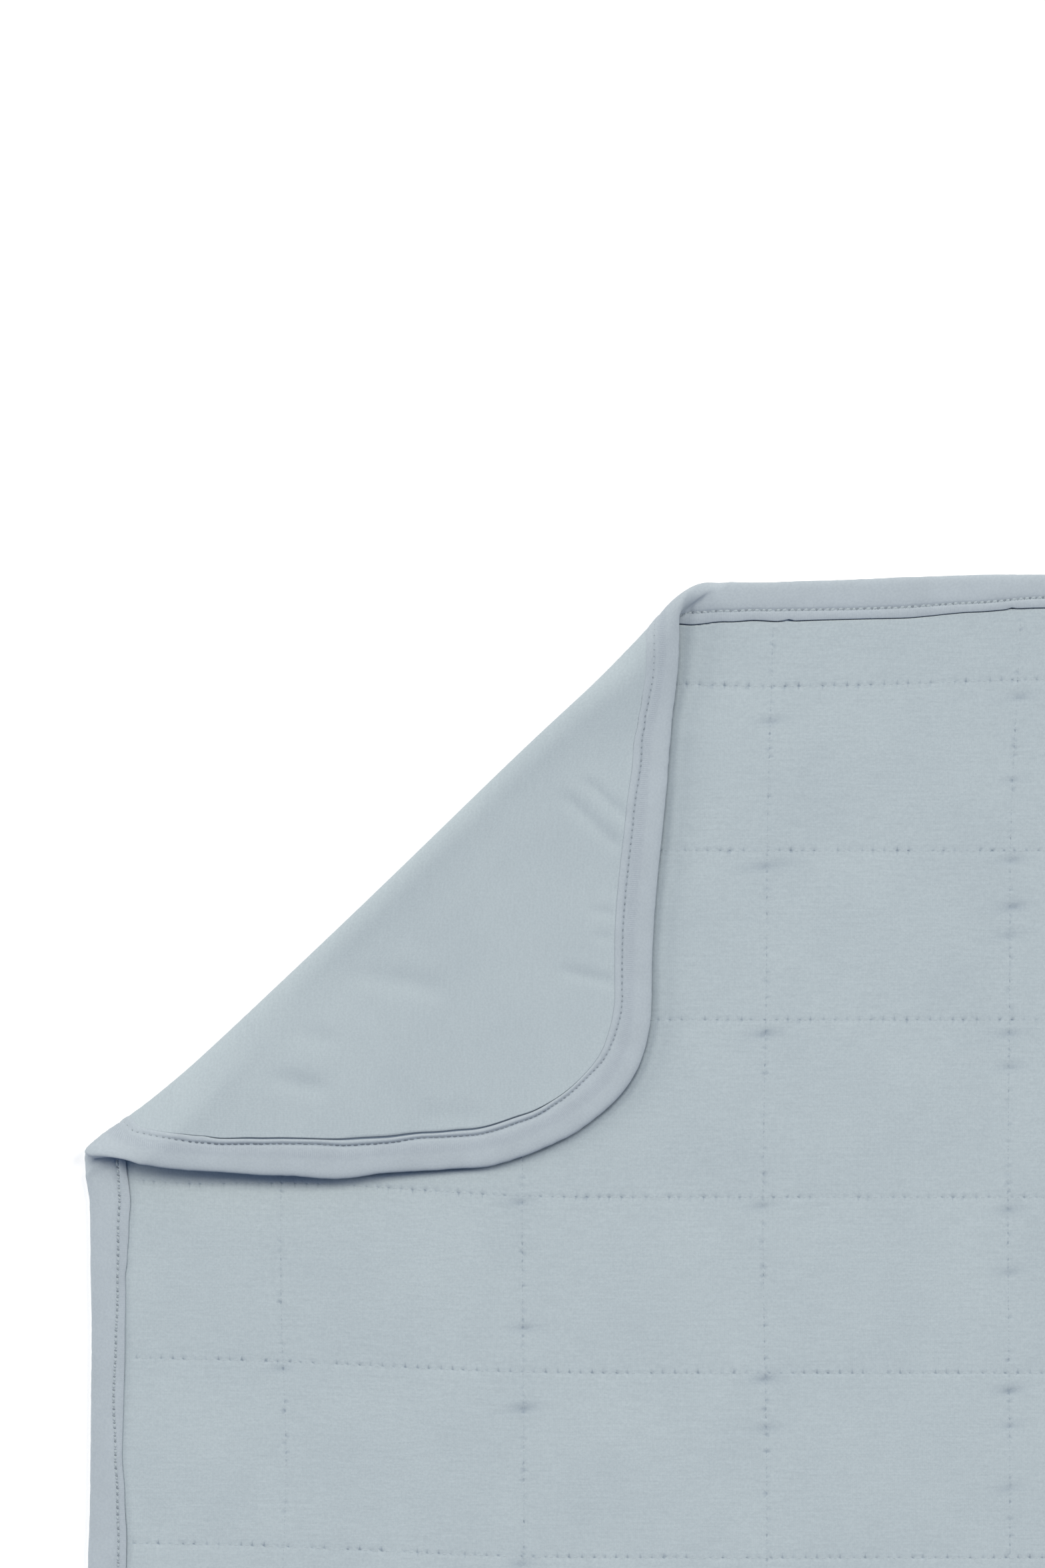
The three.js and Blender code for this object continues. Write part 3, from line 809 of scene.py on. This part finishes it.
def backPoints():
    fine = foldGrid(*plainBack["creaseGrid"])
    laid = lay(*fine, 0.0)[:, :2]
    near = np.zeros(len(laid), bool)
    for start, end, _, _ in flapCreases.values():
        along = np.subtract(end, start)
        share = ((laid - start) @ along) / (along @ along)
        off = laid - start - np.clip(share, 0, 1)[:, None] * along
        near |= np.hypot(off[:, 0], off[:, 1]) < plainBack["creaseReach"]
    keep = (pastFold(*fine) > loopLength) & near
    places = np.concatenate([fine[:, keep], foldGrid(*plainBack["grid"])], axis=1)
    inside = behindLip(reverseRun, *places) > meshing["lipClear"]
    return np.concatenate([
        lipRings(reverseRun, plainBack["lipBehinds"], *plainBack["flapRings"]),
        lipRings(reverseRun, plainBack["lipBehinds"], *plainBack["restRings"]),
        thinOut(places[:, inside], plainBack["closest"]),
    ], axis=1)


plainReverse = panel(
    "plain_reverse", plainBack["rim"],
    {"points": hiddenPoints, "height": backOver, "shade": unshaded},
    {"points": backPoints(), "height": backUnder, "shade": backShade})


# the binding, a strip folded over the edge and sewn through

def bindingStations():
    step, margin = binding["step"], binding["foldMargin"]
    places = [0.0]
    while places[-1] < outlineLength - 0.6 * step:
        past = float(pastFold(*outlineAt(places[-1], binding["outerBand"])))
        nearFold = -margin < past < loopLength + easeLength + margin
        places.append(places[-1] + (binding["foldStep"] if nearFold else step))
    places = np.array(places)
    return places * outlineLength / (places[-1] + step)


# one leg's points, from the edge over the roll, the band, the seam and the lip
def legInsets(seam, lip):
    roll, groove = binding["roll"], binding["seamWide"]
    wide = lip - seam
    rolled = roll * np.array([0, 0.02, 0.07, 0.18, 0.38, 0.68, 1.0]) + 0 * seam
    band = roll + (seam - 1.9 * groove - roll) * np.array([0.36, 0.7])
    sewn = seam + groove * np.array([-1.9, -1.1, -0.5, 0])
    flank = seam + np.minimum(groove * np.array([0.5, 1.1, 1.6]), wide * np.array([0.2, 0.4, 0.58]))
    edge = lip - np.minimum(np.array([0.5, 0.15, 0]), wide * np.array([0.3, 0.1, 0]))
    middle = 0.5 * (flank[:, -1:] + edge[:, :1])
    return np.concatenate([rolled, band, sewn, flank, middle, edge], axis=1)


def legHeight(inset, seam, lip, seamDeep, rounding):
    middle = bindingTop / 2
    roll, square = binding["roll"], binding["square"]
    turned = np.clip(1 - inset / roll, 0, 1)
    height = middle + (bindingTop - middle) * (1 - turned ** square) ** (1 / square)
    flat = np.clip((inset - 0.5 * roll) / (seam - 0.5 * roll), 0, 1)
    height = height + binding["pillow"] * np.sin(math.pi * flat)
    height = height - seamDeep * hump(inset - seam, binding["seamWide"])
    onLip = np.clip((inset - seam) / (lip - seam), 0, 1)
    height = height + binding["lipRise"] * np.sin(math.pi * onLip ** 0.8)
    rounded = np.clip(1 - (lip - inset) / binding["lipRound"], 0, 1)
    return height - rounding * (1 - np.sqrt(1 - 0.98 * rounded ** 2))


def legShape(run, along):
    along = along[:, None]
    seam, lip, shown = seamAt(run, along), lipAt(run, along), openAt(run, along)
    inset = legInsets(seam, lip)
    rounding = layers["bindingCloth"] * (binding["lipThins"] + binding["lipThinsOpen"] * shown)
    high = legHeight(inset, seam, lip, seamDeepAt(run, along), rounding)
    # painted shade along the seam
    sunk = binding["frontSeamDark" if run is frontRun else "reverseSeamDark"] * shown
    return inset, high, sunk * hump(inset - seam, binding["seamDarkWide"])


# from the front lip over the edge to the reverse lip, and back inside
def onceRound(front, reverse, inside):
    return np.concatenate([front[:, ::-1], reverse[:, 1:], inside], axis=1)


def bindingShape():
    along = bindingStations()
    front, frontHigh, frontDark = legShape(frontRun, along)
    reverse, reverseHigh, reverseDark = legShape(reverseRun, along)
    reverseHigh = bindingTop - reverseHigh
    puff = wander(along, puffWaves, binding["puff"])[:, None]
    frontHigh = frontHigh + puff * hump(front - binding["puffAt"], binding["puffWide"])
    inner = np.array(binding["insideInsets"]) + 0 * along[:, None]
    inner[:, 0] = reverse[:, -1] - binding["lipTurn"]
    inner[:, -1] = front[:, -1] - binding["lipTurn"]
    innerHigh = np.array(binding["insideHighs"]) + 0 * along[:, None]
    insets = onceRound(front, reverse, inner)
    highs = onceRound(frontHigh, reverseHigh, innerHigh)
    shade = onceRound(frontDark, reverseDark, 0 * inner)
    drawnIn = np.abs(wander(along, outerWaves, binding["edgeWaver"]))
    drawnIn = drawnIn + np.abs(wander(along, rippleWaves, binding["edgeRipple"]))
    insets = insets + drawnIn[:, None] * np.clip(1 - insets / binding["outerBand"], 0, 1)
    side = np.repeat([1.0, -1.0, 0.0], [front.shape[1], reverse.shape[1] - 1, inner.shape[1]])
    return along, insets, highs, side, shade


def bindingPiece():
    along, insets, highs, side, shade = bindingShape()
    count, ring = insets.shape
    points = lay(*outlineAt(along[:, None], insets), highs).reshape(-1, 3)
    faces = []
    for i in range(count):
        here, ahead = i * ring, (i + 1) % count * ring
        for j in range(ring):
            nextJ = (j + 1) % ring
            faces.append([here + j, here + nextJ, ahead + nextJ, ahead + j])
    along = np.broadcast_to(along[:, None], insets.shape)
    place = np.stack([along, np.where(side >= 0, insets, -insets), highs], axis=-1).reshape(-1, 3)
    return clothObject("bound_edge", points, faces, place, shade.ravel())


boundEdge = bindingPiece()


# sewing thread: each stitch is a small grain of thread, with dark grains of painted shade where the needle
# went in

def threadGrains(name, ends, laidAt, segments, rings):
    slices = np.linspace(-0.5, 0.5, rings + 2) * math.pi
    lengthwise, girth = np.sin(slices), np.cos(slices)
    angles = 2 * math.pi * np.arange(segments) / segments
    template = [(lengthwise[0], 0.0, 0.0)]
    for k in range(1, rings + 1):
        template += [(lengthwise[k], girth[k] * math.cos(a), girth[k] * math.sin(a)) for a in angles]
    template.append((lengthwise[-1], 0.0, 0.0))
    template = np.array(template)
    faces = []
    last = len(template) - 1
    for s in range(segments):
        t = (s + 1) % segments
        faces.append((0, 1 + t, 1 + s))
        for k in range(rings - 1):
            low = 1 + k * segments
            faces.append((low + s, low + t, low + segments + t, low + segments + s))
        low = 1 + (rings - 1) * segments
        faces.append((low + s, low + t, last))
    count = len(ends["along"])
    points, place = laidAt(template, {key: value[:, None] for key, value in ends.items()})
    allFaces = [[i * len(template) + v for v in face] for i in range(count) for face in faces]
    shade = np.repeat(ends["dark"], len(template))
    return clothObject(name, points.reshape(-1, 3), allFaces, place.reshape(-1, 3), shade)


def joined(groups):
    return {key: np.concatenate([group[key] for group in groups]) for key in groups[0]}


quiltThread = {"flattened": 1.2, "sunk": 0.7, "dive": 0.6, "segments": 6, "rings": 4}


def quiltEnds(run, upright):
    first, second = run["along"][:, :-1], run["along"][:, 1:]
    gap, girth = run["sewing"]["threadGap"], run["sewing"]["threadGirth"]
    return {
        "along": (0.5 * (first + second)).ravel(),
        "half": (0.5 * (second - first - gap)).ravel(),
        "line": np.broadcast_to(run["lines"][:, None], first.shape).ravel(),
        "girth": np.full(first.size, girth),
        "upright": np.full(first.size, upright),
        "dark": np.zeros(first.size),
    }


def layQuiltThread(template, ends):
    along = ends["along"] + ends["half"] * template[:, 0]
    across = ends["line"] + ends["girth"] * template[:, 1] * quiltThread["flattened"]
    x = np.where(ends["upright"], across, along)
    y = np.where(ends["upright"], along, across)
    dive = quiltThread["dive"] * np.abs(template[:, 0]) ** 4
    h = quiltOver(x, y, slits=False) + ends["girth"] * (template[:, 2] - quiltThread["sunk"]) - dive
    return lay(x, y, h), np.stack([along, across, h], axis=-1)


quiltingThread = threadGrains("quilting_thread", joined([
    quiltEnds(rowRun, upright=False), quiltEnds(columnRun, upright=True),
]), layQuiltThread, quiltThread["segments"], quiltThread["rings"])

seamThread = {
    "pitch": 3.3,
    "high": 0.42, "holeHigh": 0.7, "over": 0.12, "dive": 0.25,
    "frontBead": (1.1, 0.85),                               # half length and half width
    "frontHole": (0.64, 1.15), "reverseHole": (0.62, 0.36),
    "holeRuns": 0.8,            # holes run together where the lip stands open
    # how dark the needle holes are: painted shade, darker where the lip stands open
    "frontDark": (0.42, 0.7), "reverseDark": (0.22, 0.44), "openDark": 0.55,
    # pullDark adds painted shade in the holes where the flap pulls
    "pullDark": 0.3, "pullWide": 0.7,                       # where the flap's pull draws the holes open
    "pitchVaries": 0.06, "lengthVaries": 0.1, "widthVaries": 0.12, "insetVaries": 0.1, "skew": (0.2, 0.12),
    "leastShown": 0.05,
    "segments": 6, "rings": 3,
}


def seamEnds(front, dark):
    count = int(outlineLength / seamThread["pitch"])
    pitch = outlineLength / count
    along = pitch * (np.arange(count) + 0.5 * dark)
    along = along + chance.normal(0, seamThread["pitchVaries"] * pitch, count)
    run = frontRun if front else reverseRun
    side = "front" if front else "reverse"
    half, across = seamThread[side + ("Hole" if dark else "Bead")]
    shown = 0 * along if front else openAt(run, along)
    pulled = runAt(run, along, "pull")
    # the stitches sink out of sight into the fold
    kept = np.clip(1 + runAt(run, along, "open"), seamThread["leastShown"], 1)
    # painted shade of each needle hole
    shade = chance.uniform(*seamThread[side + "Dark"], count) + seamThread["openDark"] * shown
    shade = np.minimum(shade + seamThread["pullDark"] * pulled, 1)
    longer = seamThread["holeRuns"] * dark * shown
    return {
        "along": along,
        "half": (half * chance.normal(1, seamThread["lengthVaries"], count) + longer) * kept,
        "across": (
            across * chance.normal(1, seamThread["widthVaries"], count) * kept
            * (1 + seamThread["pullWide"] * pulled)),
        "inset": seamAt(run, along) + chance.normal(0, seamThread["insetVaries"], count),
        "skew": chance.normal(*seamThread["skew"], count),
        "front": np.full(count, front),
        "sunk": seamDeepAt(run, along),
        "dark": dark * shade,
    }


def laySeamThread(template, ends):
    across = ends["across"] * template[:, 1]
    inset = ends["inset"] + across
    along = ends["along"] + ends["half"] * template[:, 0] + ends["skew"] * across
    stands = seamThread["high"] * np.where(ends["dark"] > 0, seamThread["holeHigh"], 1.0)
    high = bindingTop - ends["sunk"] + seamThread["over"] + stands * template[:, 2]
    high = high - seamThread["dive"] * template[:, 0] ** 4
    high = np.where(ends["front"], high, bindingTop - high)
    return lay(*outlineAt(along, inset), high), np.stack([along, inset, high], axis=-1)


bindingThread = threadGrains("binding_seam_thread", joined([
    seamEnds(front, dark) for front, dark in ((True, 0.0), (True, 1.0), (False, 1.0))
]), laySeamThread, seamThread["segments"], seamThread["rings"])


# finishes

def feed(tree, socket, value):
    if isinstance(value, bpy.types.NodeSocket):
        tree.links.new(value, socket)
    elif socket.type == "RGBA":
        socket.default_value = (*value, 1)
    else:
        socket.default_value = value


def nodeIn(tree, kind, inputs, **settings):
    node = tree.nodes.new(kind)
    for key, value in settings.items():
        setattr(node, key, value)
    for key, value in inputs.items():
        feed(tree, node.inputs[key], value)
    return node


def attributeIn(tree, name, output):
    return nodeIn(tree, "ShaderNodeAttribute", {}, attribute_name=name).outputs[output]


def clothCoordinates(tree, scale=(1, 1, 1), turn=0.0):
    place = attributeIn(tree, "clothPlace", "Vector")
    mapping = nodeIn(tree, "ShaderNodeMapping", {"Vector": place, "Scale": scale, "Rotation": (0, 0, turn)})
    return mapping.outputs["Vector"]


def noiseIn(tree, scale, detail, rough=0.5, stretch=(1, 1, 1)):
    place = clothCoordinates(tree, stretch)
    inputs = {"Vector": place, "Scale": scale, "Detail": detail, "Roughness": rough}
    return nodeIn(tree, "ShaderNodeTexNoise", inputs).outputs["Fac"]


def wavesIn(tree, pitch, direction, waver, turn=0.0):
    place = clothCoordinates(tree, turn=turn)
    scale = 2 * math.pi / (20 * pitch * mm)  # the texture's phase runs 20 to the unit
    inputs = {"Vector": place, "Scale": scale, "Distortion": waver, "Detail": 1.0, "Detail Scale": 0.6}
    made = nodeIn(tree, "ShaderNodeTexWave", inputs, wave_type="BANDS", bands_direction=direction)
    return made.outputs["Fac"]


def bumpIn(tree, height, strength, deep, under=None):
    inputs = {"Height": height, "Strength": strength, "Distance": deep * mm}
    if under is not None:
        inputs["Normal"] = under
    return nodeIn(tree, "ShaderNodeBump", inputs).outputs["Normal"]


def rampIn(tree, value, low, high, start=0.3, end=0.7):
    ramp = nodeIn(tree, "ShaderNodeValToRGB", {"Fac": value})
    for element, place, colour in zip(ramp.color_ramp.elements, (start, end), (low, high)):
        element.position = place
        element.color = (*colour, 1)
    return ramp.outputs["Color"]


def mixIn(tree, share, first, second, way="MIX"):
    inputs = {0: share, 6: first, 7: second}
    return nodeIn(tree, "ShaderNodeMix", inputs, data_type="RGBA", blend_type=way).outputs[2]


def timesIn(tree, first, second):
    return mixIn(tree, 1.0, first, second, "MULTIPLY")


def mathIn(tree, way, first, second, clamp=False):
    inputs = {0: first, 1: second}
    return nodeIn(tree, "ShaderNodeMath", inputs, operation=way, use_clamp=clamp).outputs[0]


def newFinish(name, inputs):
    finish = bpy.data.materials.new(name)
    finish.use_nodes = True
    tree = finish.node_tree
    shader = tree.nodes["Principled BSDF"]
    for key, value in inputs.items():
        feed(tree, shader.inputs[key], value)
    return finish, tree, shader


def clothFinish(name, look):
    return newFinish(name, {
        "Roughness": look["rough"], "Specular IOR Level": 0.15,
        "Sheen Weight": look["sheen"], "Sheen Roughness": 0.6,
    })


def tint(colour, share):
    return tuple(channel * share for channel in colour)


jersey = {
    "colour": (0.417, 0.478, 0.512),
    "sheen": 0.12, "rough": 0.92,
    "streaks": (75, 620, 1), "streakDeep": 0.35,
    "patches": 22.0, "patchTones": ((0.975, 0.978, 0.985), (1.02, 1.02, 1.02)),
    "fuzz": 900.0, "fuzzTones": ((0.95, 0.955, 0.96), (1.045, 1.045, 1.04)),
    "wale": 0.95, "course": 0.75, "knit": 0.22, "knitDeep": 0.12,
    # this colour is painted shade: the jersey is darkened towards it in slits, slots and puckers
    "paintedShadeColour": (0.37, 0.42, 0.53),
}


def jerseyFinish(name, streak, slub):
    finish, tree, shader = clothFinish(name, jersey)
    colour = jersey["colour"]
    streaks = noiseIn(tree, 1.0, 3.0, 0.6, jersey["streaks"])
    patches = noiseIn(tree, jersey["patches"], 2.0)
    grain = noiseIn(tree, jersey["fuzz"], 1.0)
    yarnAndShade = rampIn(tree, streaks, tint(colour, 1 - slub), tint(colour, 1 + slub), 0.25, 0.75)
    yarnAndShade = timesIn(tree, yarnAndShade, rampIn(tree, patches, *jersey["patchTones"]))
    yarnAndShade = timesIn(tree, yarnAndShade, rampIn(tree, grain, *jersey["fuzzTones"]))
    # painted shade: the yarn's colour is darkened towards the shade colour where the attribute says
    sunk = timesIn(tree, yarnAndShade, jersey["paintedShadeColour"])
    yarnAndShade = mixIn(tree, attributeIn(tree, "paintedShade", "Fac"), yarnAndShade, sunk)
    feed(tree, shader.inputs["Base Color"], yarnAndShade)
    wales = wavesIn(tree, jersey["wale"], "X", 1.2)
    courses = wavesIn(tree, jersey["course"], "Y", 1.6)
    knit = mathIn(tree, "MULTIPLY", wales, courses)
    normal = bumpIn(tree, streaks, streak, jersey["streakDeep"])
    feed(tree, shader.inputs["Normal"], bumpIn(tree, knit, jersey["knit"], jersey["knitDeep"], normal))
    return finish


edgeCloth = {
    # the binding's colour lies halfway between the jersey's and its shaded tone: that darker, bluer half
    # step is painted shade
    "colour": (0.405, 0.457, 0.501),
    "sheen": 0.12, "rough": 0.9,
    "patches": 60.0, "patchVaries": 0.03,
    "fuzz": 900.0, "fuzzTones": ((0.955, 0.96, 0.965), (1.04, 1.04, 1.035)), "fuzzBump": (0.25, 0.1),
    # where ribs start, over how far, where they end, and how plain they are
    "frontRibs": (13.0, 3.0, 40.0, 0.5), "reverseRibs": (8.5, 3.0, 15.6, 1.0),
    # the rib tones are painted shade: darker, bluer rib valleys and a darker band beside the seam
    "rib": 1.02, "ribShadeTones": ((0.88, 0.883, 0.905), (1.0, 0.998, 1.0)), "ribBump": (0.2, 0.2),
    # this colour is painted shade: the binding is darkened towards it along the seam
    "paintedShadeColour": (0.45, 0.50, 0.58),
}


# ribs, and the painted shade in their valleys, show on the lip and beside the seam, and fade on the rolled
# edge
def ribShare(tree):
    split = nodeIn(tree, "ShaderNodeSeparateXYZ", {0: attributeIn(tree, "clothPlace", "Vector")})
    shares = []
    for sign, (start, over, end, plain) in ((1, edgeCloth["frontRibs"]), (-1, edgeCloth["reverseRibs"])):
        share = mathIn(tree, "MULTIPLY", split.outputs["Y"], sign / (over * mm))
        starts = mathIn(tree, "SUBTRACT", share, start / over, clamp=True)
        ends = mathIn(tree, "SUBTRACT", end / over, share, clamp=True)
        shares.append(mathIn(tree, "MULTIPLY", mathIn(tree, "MULTIPLY", starts, ends), plain))
    return mathIn(tree, "MAXIMUM", *shares)


def bindingFinish():
    finish, tree, shader = clothFinish("binding jersey", edgeCloth)
    colour, varies = edgeCloth["colour"], edgeCloth["patchVaries"]
    share = ribShare(tree)
    ribs = wavesIn(tree, edgeCloth["rib"], "X", 0.5)
    ribHeight = mathIn(tree, "MULTIPLY", ribs, share)
    patches = noiseIn(tree, edgeCloth["patches"], 2.0)
    grain = noiseIn(tree, edgeCloth["fuzz"], 1.0)
    cloth = rampIn(tree, patches, tint(colour, 1 - varies), tint(colour, 1 + varies))
    cloth = timesIn(tree, cloth, rampIn(tree, grain, *edgeCloth["fuzzTones"]))
    # painted shade in the rib valleys and beside the seam
    ribShade = rampIn(tree, ribHeight, *edgeCloth["ribShadeTones"], 0.0, 1.0)
    cloth = mixIn(tree, share, cloth, timesIn(tree, cloth, ribShade))
    # painted shade: the binding's colour is darkened towards the shade colour where the attribute says
    sunk = timesIn(tree, cloth, edgeCloth["paintedShadeColour"])
    cloth = mixIn(tree, attributeIn(tree, "paintedShade", "Fac"), cloth, sunk)
    feed(tree, shader.inputs["Base Color"], cloth)
    normal = bumpIn(tree, ribHeight, *edgeCloth["ribBump"])
    feed(tree, shader.inputs["Normal"], bumpIn(tree, grain, *edgeCloth["fuzzBump"], normal))
    return finish


threadCloth = {
    # a little darker than the jersey the thread matches: painted shade on its raised tops
    "colour": (0.386, 0.442, 0.477),
    "sheen": 0.1, "rough": 0.75,
    "twist": 0.7, "twistTurn": 0.9, "twistTones": (0.94, 1.05), "twistBump": (0.4, 0.1),
    # the needle holes' colour is painted shade
    "paintedHoleShade": (0.13, 0.155, 0.19),
}


def threadFinish():
    finish, tree, shader = clothFinish("sewing thread", threadCloth)
    tones = [tint(threadCloth["colour"], share) for share in threadCloth["twistTones"]]
    twist = wavesIn(tree, threadCloth["twist"], "X", 0.3, threadCloth["twistTurn"])
    toneAndShade = rampIn(tree, twist, *tones, 0.0, 1.0)
    # painted shade: the needle-hole grains take the dark hole colour
    toneAndShade = mixIn(tree, attributeIn(tree, "paintedShade", "Fac"), toneAndShade, threadCloth["paintedHoleShade"])
    feed(tree, shader.inputs["Base Color"], toneAndShade)
    feed(tree, shader.inputs["Normal"], bumpIn(tree, twist, *threadCloth["twistBump"]))
    return finish


quiltedJersey = jerseyFinish("quilted jersey", streak=0.22, slub=0.038)
plainJersey = jerseyFinish("plain jersey", streak=0.1, slub=0.025)
bindingJersey = bindingFinish()
thread = threadFinish()
print("finishes made")


# what each piece stands for

dressing = [
    (quiltedFace, quiltedJersey, "quilted_top", "quilted_jersey"),
    (plainReverse, plainJersey, "plain_back", "plain_jersey"),
    (boundEdge, bindingJersey, "edge_binding", "binding_jersey"),
    (quiltingThread, thread, "quilted_top", "quilted_jersey"),
    (bindingThread, thread, "edge_binding", "binding_jersey"),
]
for piece, finish, node, slot in dressing:
    piece.data.materials.append(finish)
    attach(piece, "root")
    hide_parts(node)


print("pieces dressed")


# floor, light and camera

studio = {
    "floorSize": 60.0,                      # in metres
    "floorColour": (0.93, 0.93, 0.93), "floorGlow": 0.2,
    "skyColour": (0.09, 0.137, 0.25),       # cool light from all round
    # a soft arch of lamps from side to side, leaning towards the head of the blanket
    "archTurns": (-66.0, -33.0, 0.0, 33.0, 66.0), "archLean": 26.0,
    "keySpread": 20.0, "keyColour": (1.0, 0.952, 0.837), "keyLevel": 0.98,
}


def paleFloor():
    size = studio["floorSize"] / 2
    mesh = bpy.data.meshes.new("floor")
    corners = [(-size, -size, 0), (size, -size, 0), (size, size, 0), (-size, size, 0)]
    mesh.from_pydata(corners, [], [(0, 1, 2, 3)])
    floor = bpy.data.objects.new("floor", mesh)
    bpy.context.scene.collection.objects.link(floor)
    finish, _, _ = newFinish("pale floor", {
        "Base Color": studio["floorColour"], "Roughness": 0.9, "Specular IOR Level": 0.1,
        "Emission Color": (1, 1, 1), "Emission Strength": studio["floorGlow"],
    })
    mesh.materials.append(finish)


def keyArch():
    lean = math.radians(studio["archLean"])
    turns = [math.radians(turn) for turn in studio["archTurns"]]
    upright = sum(math.cos(turn) for turn in turns) * math.cos(lean)
    for turn in turns:
        light = bpy.data.lights.new("key", "SUN")
        light.energy = studio["keyLevel"] * math.pi / upright
        light.color = studio["keyColour"]
        light.angle = math.radians(studio["keySpread"])
        lamp = bpy.data.objects.new("key", light)
        lamp.rotation_euler = (Matrix.Rotation(-lean, 3, "X") @ Matrix.Rotation(turn, 3, "Y")).to_euler()
        bpy.context.scene.collection.objects.link(lamp)


paleFloor()
keyArch()
world = bpy.data.worlds.new("studio")
world.use_nodes = True
background = world.node_tree.nodes["Background"]
background.inputs["Color"].default_value = (*studio["skyColour"], 1)
background.inputs["Strength"].default_value = 1.0
bpy.context.scene.world = world
bpy.context.scene.view_settings.view_transform = "Standard"
bpy.context.scene.view_settings.look = "None"

# the camera looks straight down on the folded corner
overhead = {"x": -156.2, "y": 394.7, "above": 1856.0, "lens": 85.0, "sees": 100.0}
cameraData = bpy.data.cameras.new("overhead")
cameraData.lens = overhead["lens"]
cameraData.clip_end = overhead["sees"]
camera = bpy.data.objects.new("overhead", cameraData)
camera.location = Vector((overhead["x"], overhead["y"], overhead["above"])) * mm
bpy.context.scene.collection.objects.link(camera)
bpy.context.scene.camera = camera
print("studio set")
